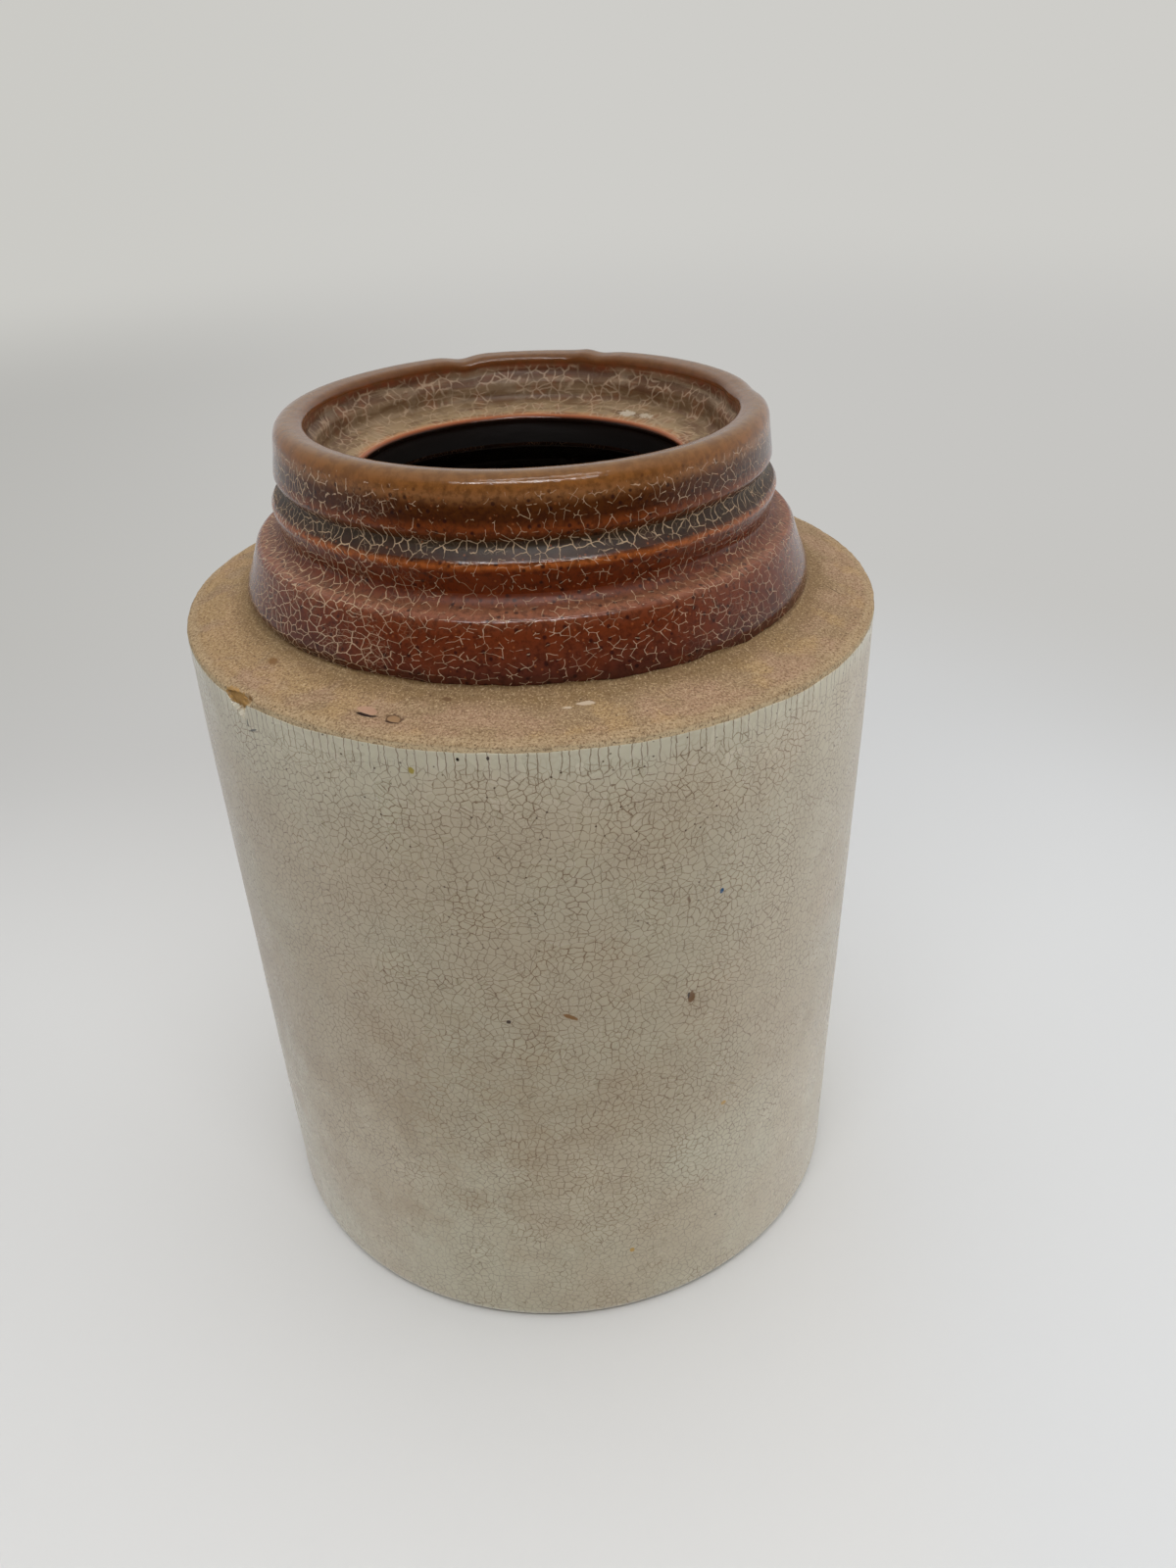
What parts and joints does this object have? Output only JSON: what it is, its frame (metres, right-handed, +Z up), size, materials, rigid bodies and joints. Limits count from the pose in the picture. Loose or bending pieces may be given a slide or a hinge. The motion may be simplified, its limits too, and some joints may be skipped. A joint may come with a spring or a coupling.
{
  "type": "crock fermenter",
  "caption": "Straight-sided stoneware fermenting crock with an unglazed shoulder, a stepped brown-glazed mouth and loose half-moon weight stones inside.",
  "frame": {"origin": "centre of the base, on the surface that the crock stands on", "axes": "+Z up along the crock's axis of revolution; X along the weight stones' straight sides"},
  "size_m": [0.2002, 0.2002, 0.2642],
  "materials": {
    "bare_clay": "unglazed sandy stoneware, fired tan",
    "cream_glaze": "semi-gloss cream-grey glaze with fine brown crazing",
    "brown_glaze": "glossy rust-brown glaze with a pale crackle network",
    "liner_glaze": "glossy dark brown lining",
    "weight_stone": "matt unglazed stoneware"
  },
  "bodies": {
    "crock": {"clay_body": "bare_clay", "wall_glaze": "cream_glaze", "neck_glaze": "brown_glaze", "liner_glaze": "liner_glaze"},
    "front_weight": {"weight_stone_front": "weight_stone"},
    "back_weight": {"weight_stone_back": "weight_stone"}
  },
  "joints": [
    {"name": "front_weight_lift", "type": "slide", "parent": "crock", "child": "front_weight", "axis": [0, 0, 1], "range_m": [0, 0.155]},
    {"name": "back_weight_lift", "type": "slide", "parent": "crock", "child": "back_weight", "axis": [0, 0, 1], "range_m": [0, 0.155]}
  ]
}
